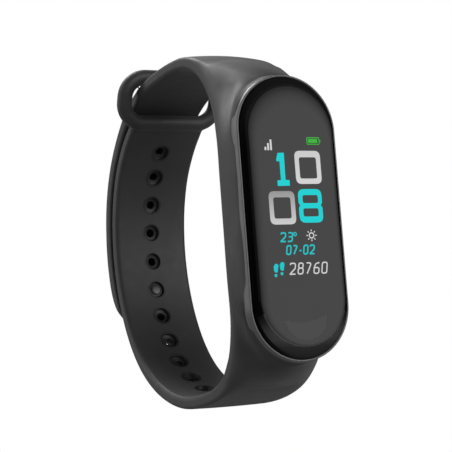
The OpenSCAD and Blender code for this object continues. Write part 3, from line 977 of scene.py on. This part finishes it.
def lit(name, low, high, z_low, z_high):
    """A lit mark: colour runs from low to high up the display, over faint rows of dots."""
    material, tree, shader = new_material(name)
    colour = by_place(tree, "Z", [(z_low, low), (z_high, high)])
    tree.links.new(colour, shader.inputs["Emission Color"])
    place = tree.nodes.new("ShaderNodeTexCoord")
    wave = tree.nodes.new("ShaderNodeTexWave")
    wave.bands_direction = "Z"
    wave.inputs["Scale"].default_value = 1 / (ROW_PITCH * MM) / 3
    tree.links.new(place.outputs["Object"], wave.inputs["Vector"])
    tree.links.new(remap(tree, wave.outputs["Fac"], 0.9, 1.0, 0, 1),
                   shader.inputs["Emission Strength"])
    shader.inputs["Base Color"].default_value = (0.002, 0.002, 0.002, 1)
    tree.links.new(remap(tree, wave.outputs["Fac"], 0.04, 0.06, 0, 1),
                   shader.inputs["Roughness"])
    shader.inputs["IOR"].default_value = 1.1
    bump(tree, shader, wave.outputs["Fac"], 0.0004)
    return material


def linear(r, g, b):
    """A colour given as 0 to 255 on a screen, in linear light."""
    return tuple(((v / 255 + 0.055) / 1.055) ** 2.4 if v > 10 else v / 255 / 12.92
                 for v in (r, g, b))


CYAN = linear(22, 212, 214)
TEAL = linear(22, 200, 204)
cyan_big = lit("lit_cyan", CYAN, CYAN, -2, 11)
cyan_small = lit("lit_teal", TEAL, TEAL, -10, -2)
white_big = lit("lit_white", linear(216, 216, 216), linear(206, 206, 206), 5, 11)
grey_big = lit("lit_grey", linear(208, 208, 208), linear(150, 150, 150), -1.3, 4.1)
white_small = lit("lit_small", linear(212, 212, 212), linear(216, 216, 216), -10, 13)
green_lit = lit("lit_green", linear(52, 176, 52), linear(62, 190, 62), 11.5, 13)

marks = Marks("mark_hours_first")
marks.add(rounded([(-2.8, 4.95), (-0.55, 5.0), (-0.55, 5.92), (-1.28, 5.92), (-1.22, 10.36),
                   (-2.38, 10.32), (-2.72, 9.3), (-2.66, 8.92), (-2.14, 9.0), (-2.14, 5.88),
                   (-2.8, 5.86)], 0.08))
marks.finish(cyan_big)
marks = Marks("mark_hours_second")
frame_mark(marks, (0.7, 5.26), (5.54, 10.68), 1.0, (1.5, 6.14), (4.72, 9.62), 0.4)
marks.finish(white_big)
marks = Marks("mark_minutes_first")
frame_mark(marks, (-4.66, -1.26), (0.14, 4.12), 1.0, (-3.86, -0.3), (-0.68, 3.12), 0.4)
marks.finish(grey_big)
marks = Marks("mark_minutes_second")
waist = 1.78
marks.add(rounded([(0.8, -1.05), (5.24, -1.05), (5.24, waist - 0.35), (4.9, waist),
                   (5.24, waist + 0.35), (5.24, 4.42), (0.8, 4.42), (0.8, waist + 0.35),
                   (1.14, waist), (0.8, waist - 0.35)],
                  [1.1, 1.1, 0.5, 0.3, 0.5, 1.1, 1.1, 0.5, 0.3, 0.5]),
          box_outline((1.58, -0.05), (4.44, 1.28), 0.35),
          box_outline((1.62, 2.13), (4.5, 3.44), 0.35))
marks.finish(cyan_big)

marks = Marks("mark_small_cyan")
write(marks, "23", -3.2, -4.12, 1.62, 1.05, 0.25, 0.24)
ring_mark(marks, (-0.32, -2.86), 0.26, 16, 0.17)
write(marks, "07-02", -2.32, -6.2, 1.62, 0.98, 0.2, 0.24)
for x, z in ((-4.28, -7.75), (-3.14, -7.5)):      # footprints: a sole and a heel each
    marks.add(rounded([(x - 0.42, z - 0.95), (x - 0.12, z - 1.2), (x + 0.2, z - 1.15),
                       (x + 0.45, z), (x + 0.2, z + 0.22), (x - 0.15, z + 0.22),
                       (x - 0.45, z - 0.2)], 0.3))
    marks.add(rounded([(x - 0.42, z - 1.42), (x + 0.1, z - 1.38), (x + 0.08, z - 1.8),
                       (x - 0.18, z - 1.92), (x - 0.4, z - 1.78)], 0.2))
marks.finish(cyan_small)

marks = Marks("mark_small_white")
write(marks, "28760", -1.98, -9.38, 1.95, 1.14, 0.35, 0.22)
sun = (2.75, -3.12)
ring_mark(marks, sun, 0.42, 20, 0.2)
for a in np.linspace(0, 2 * math.pi, 8, endpoint=False):
    marks.line([(sun[0] + r * math.cos(a), sun[1] + r * math.sin(a))
                for r in (0.66, 0.95)], 0.18)
for i in range(3):          # signal bars
    low = 10.75
    x = -4.72 + i * 0.52
    marks.add(box_outline((x, low), (x + 0.34, low + 0.55 + 0.6 * i), 0.08))
marks.finish(white_small)

marks = Marks("mark_battery")
frame_mark(marks, (3.22, 11.68), (5.66, 12.92), 0.25, (3.36, 11.82), (5.52, 12.78), 0.15)
marks.add(box_outline((3.5, 11.96), (5.25, 12.64), 0.1))
marks.add(box_outline((5.7, 12.08), (5.86, 12.52), 0.06))
marks.finish(green_lit)


# ---- stud and cap
def turned(name, profile, row, count=72):
    """A piece turned about the line through the strap at a row, from rows of radius and
    height out of the strap's wrist side."""
    p, way, out = frame_at(row)
    verts = []
    for r, h in profile:
        for i in range(count):
            a = 2 * math.pi * i / count
            side = r * math.sin(a)
            verts.append((r * math.cos(a), p[0] + out[0] * h + way[0] * side,
                          p[1] + out[1] * h + way[1] * side))
    faces = rings_to_faces(0, len(profile), count)
    first = len(verts)
    for ring, (r, h) in ((0, profile[0]), (len(profile) - 1, profile[-1])):
        verts.append((0, p[0] + out[0] * h, p[1] + out[1] * h))
        base = ring * count
        for i in range(count):
            j = (i + 1) % count
            pair = (base + i, base + j) if ring else (base + j, base + i)
            faces.append((*pair, len(verts) - 1))
    return face_outward(mesh_object(name, verts, faces))


stud = turned("stud_head", [
    (0.25, 0.1), (0.7, 0.12), (0.9, 0.17), (1.0, 0.26), (1.04, 0.4), (1.12, 0.44),
    (1.28, 0.44), (1.32, 0.48), (1.2, 0.54), (0.85, 0.58), (NECK_R, 0.75), (NECK_R, 2.6),
    (NECK_R, 4.7)], STUD_ROW)
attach(stud, "strap_tip")
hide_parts("clasp_stud")
cap = turned("stud_cap", [
    (3.5, 4.72), (3.68, 4.8), (CAP_R, 4.95), (CAP_R, 5.35), (3.66, 5.5), (3.5, 5.6),
    (3.2, 5.64), (3.02, 5.6), (2.92, 5.52), (2.82, 5.5), (2.0, 5.56), (1.0, 5.6),
    (0.2, 5.61)], STUD_ROW)
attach(cap, "strap_tip")
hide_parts("clasp_cap")
stud.data.materials.append(plastic("stud_nylon", grey(0.045), grey(0.06), 0.38, 0.2, 0.003,
                                   1.5))
cap.data.materials.append(metal("dark_steel", (0.06, 0.06, 0.062), (0.12, 0.12, 0.125), 0.34))

# ---- materials of the rest
case_black = plastic("case_black", grey(0.012), grey(0.018), 0.42, 0.16, 0.006, 3.0)
steel = metal("steel", (0.45, 0.45, 0.46), (0.6, 0.6, 0.61), 0.3, (1, 1, 8))
gold = metal("gold_plate", (0.72, 0.5, 0.2), (0.85, 0.62, 0.28), 0.22)
foil = metal("battery_foil", (0.5, 0.51, 0.53), (0.66, 0.67, 0.7), 0.36, (4, 1, 1), 0.5)
LOOKS = {
    "lens_adhesive": plastic("adhesive", grey(0.01), grey(0.02), 0.5),
    "display_panel": plastic("panel_black", grey(0.004), grey(0.008), 0.12, 0.3, 0.001),
    "backlight_tray": steel,
    "display_foam": plastic("foam", grey(0.05), grey(0.08), 0.9, 0.25, 0.03, 2.0),
    "display_flex": plastic("film", (0.30, 0.12, 0.02), (0.42, 0.18, 0.03), 0.35),
    "touch_pad": gold,
    "touch_flex": plastic("film_thin", (0.30, 0.12, 0.02), (0.42, 0.18, 0.03), 0.35),
    "mid_frame": case_black,
    "case_seal": plastic("seal", (0.25, 0.04, 0.03), (0.35, 0.06, 0.04), 0.6),
    "back_case": case_black,
    "battery": foil,
    "battery_leads": plastic("lead_red", (0.4, 0.02, 0.02), (0.5, 0.03, 0.03), 0.4),
    "battery_connector": plastic("ivory", (0.7, 0.66, 0.55), (0.8, 0.76, 0.66), 0.4),
    "main_board": plastic("board", (0.01, 0.12, 0.05), (0.02, 0.17, 0.07), 0.3, 0.4, 0.01,
                          2.0),
    "processor_chip": plastic("chip", grey(0.015), grey(0.025), 0.5, 0.08, 0.004),
    "memory_chip": plastic("chip_small", grey(0.015), grey(0.025), 0.5, 0.08, 0.004),
    "motion_sensor": plastic("chip_tiny", grey(0.02), grey(0.03), 0.5, 0.08, 0.004),
    "radio_shield": steel,
    "antenna": gold,
    "motor_can": steel,
    "motor_cover": steel,
    "motor_shaft": steel,
    "motor_rotor": metal("sintered", (0.2, 0.19, 0.17), (0.32, 0.3, 0.27), 0.5),
    "sensor_board": plastic("board_small", (0.01, 0.12, 0.05), (0.02, 0.17, 0.07), 0.3),
    "green_leds": plastic("led", (0.1, 0.6, 0.25), (0.2, 0.8, 0.35), 0.2),
    "photodiode": plastic("diode", (0.02, 0.02, 0.05), (0.03, 0.03, 0.07), 0.15),
    "light_baffle": plastic("baffle", grey(0.01), grey(0.015), 0.7),
    "sensor_window": plastic("window", (0.006, 0.002, 0.003), (0.012, 0.003, 0.004), 0.06,
                             2.0, 0.001),
    "charging_contacts": gold,
}
for node, look in LOOKS.items():
    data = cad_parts[node].data
    data.materials.clear()
    data.materials.append(look)

# ---- camera and stage
# Low on the display's left, about 0.27 m away, in metres and degrees.
CAMERA_AT = (-0.1270, -0.2428, -0.0259)
CAMERA_TURN = (95.8468, 4.2706, -27.9104)
camera_data = bpy.data.cameras.new("camera")
camera = bpy.data.objects.new("camera", camera_data)
scene.collection.objects.link(camera)
camera_data.lens = 122.94
camera_data.sensor_width = 36
camera_data.clip_start = 0.01
camera_data.clip_end = 20
camera.location = CAMERA_AT
camera.rotation_euler = [math.radians(turn) for turn in CAMERA_TURN]
scene.camera = camera
scene.view_settings.view_transform = "Standard"
scene.view_settings.look = "None"


def soft_light(name, at, size, radiance, tall=None):
    """A soft box of the given brightness, aimed at the origin, in metres."""
    data = bpy.data.lights.new(name, "AREA")
    data.shape = "RECTANGLE"
    data.size = size
    data.size_y = tall or size
    data.energy = radiance * math.pi * size * (tall or size)
    obj = bpy.data.objects.new(name, data)
    scene.collection.objects.link(obj)
    obj.location = at
    obj.rotation_euler = (-Vector(at)).to_track_quat("-Z", "Y").to_euler()


soft_light("light_card", (0.30, -0.54, 0.06), 0.36, 4.3, tall=0.50)
soft_light("light_front", (0.0, -0.776, 0.194), 0.36, 6.0)
soft_light("light_back_left", (-0.52, 0.52, 0.31), 0.36, 2.4, tall=0.7)
soft_light("light_left", (-0.776, 0.0, 0.194), 0.36, 2.2)
soft_light("light_back_high", (-0.04, 0.45, 0.6), 0.30, 12.5)
soft_light("light_top", (-0.05, 0.12, 0.75), 0.35, 0.8)

world = bpy.data.worlds.new("world")
scene.world = world
world.use_nodes = True
nodes = world.node_tree.nodes
links = world.node_tree.links
seen = nodes["Background"]
seen.inputs["Color"].default_value = (1, 1, 1, 1)
seen.inputs["Strength"].default_value = 1.0
around = nodes.new("ShaderNodeBackground")
around.inputs["Color"].default_value = (0.9, 0.95, 1.0, 1)
around.inputs["Strength"].default_value = 0.03
ray = nodes.new("ShaderNodeLightPath")
mix = nodes.new("ShaderNodeMixShader")
links.new(ray.outputs["Is Camera Ray"], mix.inputs["Fac"])
links.new(around.outputs["Background"], mix.inputs[1])
links.new(seen.outputs["Background"], mix.inputs[2])
links.new(mix.outputs["Shader"], nodes["World Output"].inputs["Surface"])

# A pale floor just under the strap: white to the camera, dim in reflections.
FLOOR_Z = -30.2
FLOOR_HALF = 900.0
corners = [(x * FLOOR_HALF, y * FLOOR_HALF, FLOOR_Z)
           for x, y in ((-1, -1), (1, -1), (1, 1), (-1, 1))]
floor = mesh_object("floor", corners, [(0, 1, 2, 3)])
pale, tree, shader = new_material("floor_pale")
tree.links.new(colours(tree, noise(tree, 60.0, 3.0), [(0.3, (0.10,) * 3), (0.7, (0.12,) * 3)]),
               shader.inputs["Base Color"])
shader.inputs["Roughness"].default_value = 0.8
shader.inputs["Specular IOR Level"].default_value = 0.1
shader.inputs["Emission Color"].default_value = (1, 1, 1, 1)
shader.inputs["Emission Strength"].default_value = 0.16
glow = tree.nodes.new("ShaderNodeEmission")
eye = tree.nodes.new("ShaderNodeLightPath")
blend = tree.nodes.new("ShaderNodeMixShader")
tree.links.new(eye.outputs["Is Camera Ray"], blend.inputs["Fac"])
tree.links.new(shader.outputs["BSDF"], blend.inputs[1])
tree.links.new(glow.outputs["Emission"], blend.inputs[2])
tree.links.new(blend.outputs["Shader"], tree.nodes["Material Output"].inputs["Surface"])
floor.data.materials.append(pale)
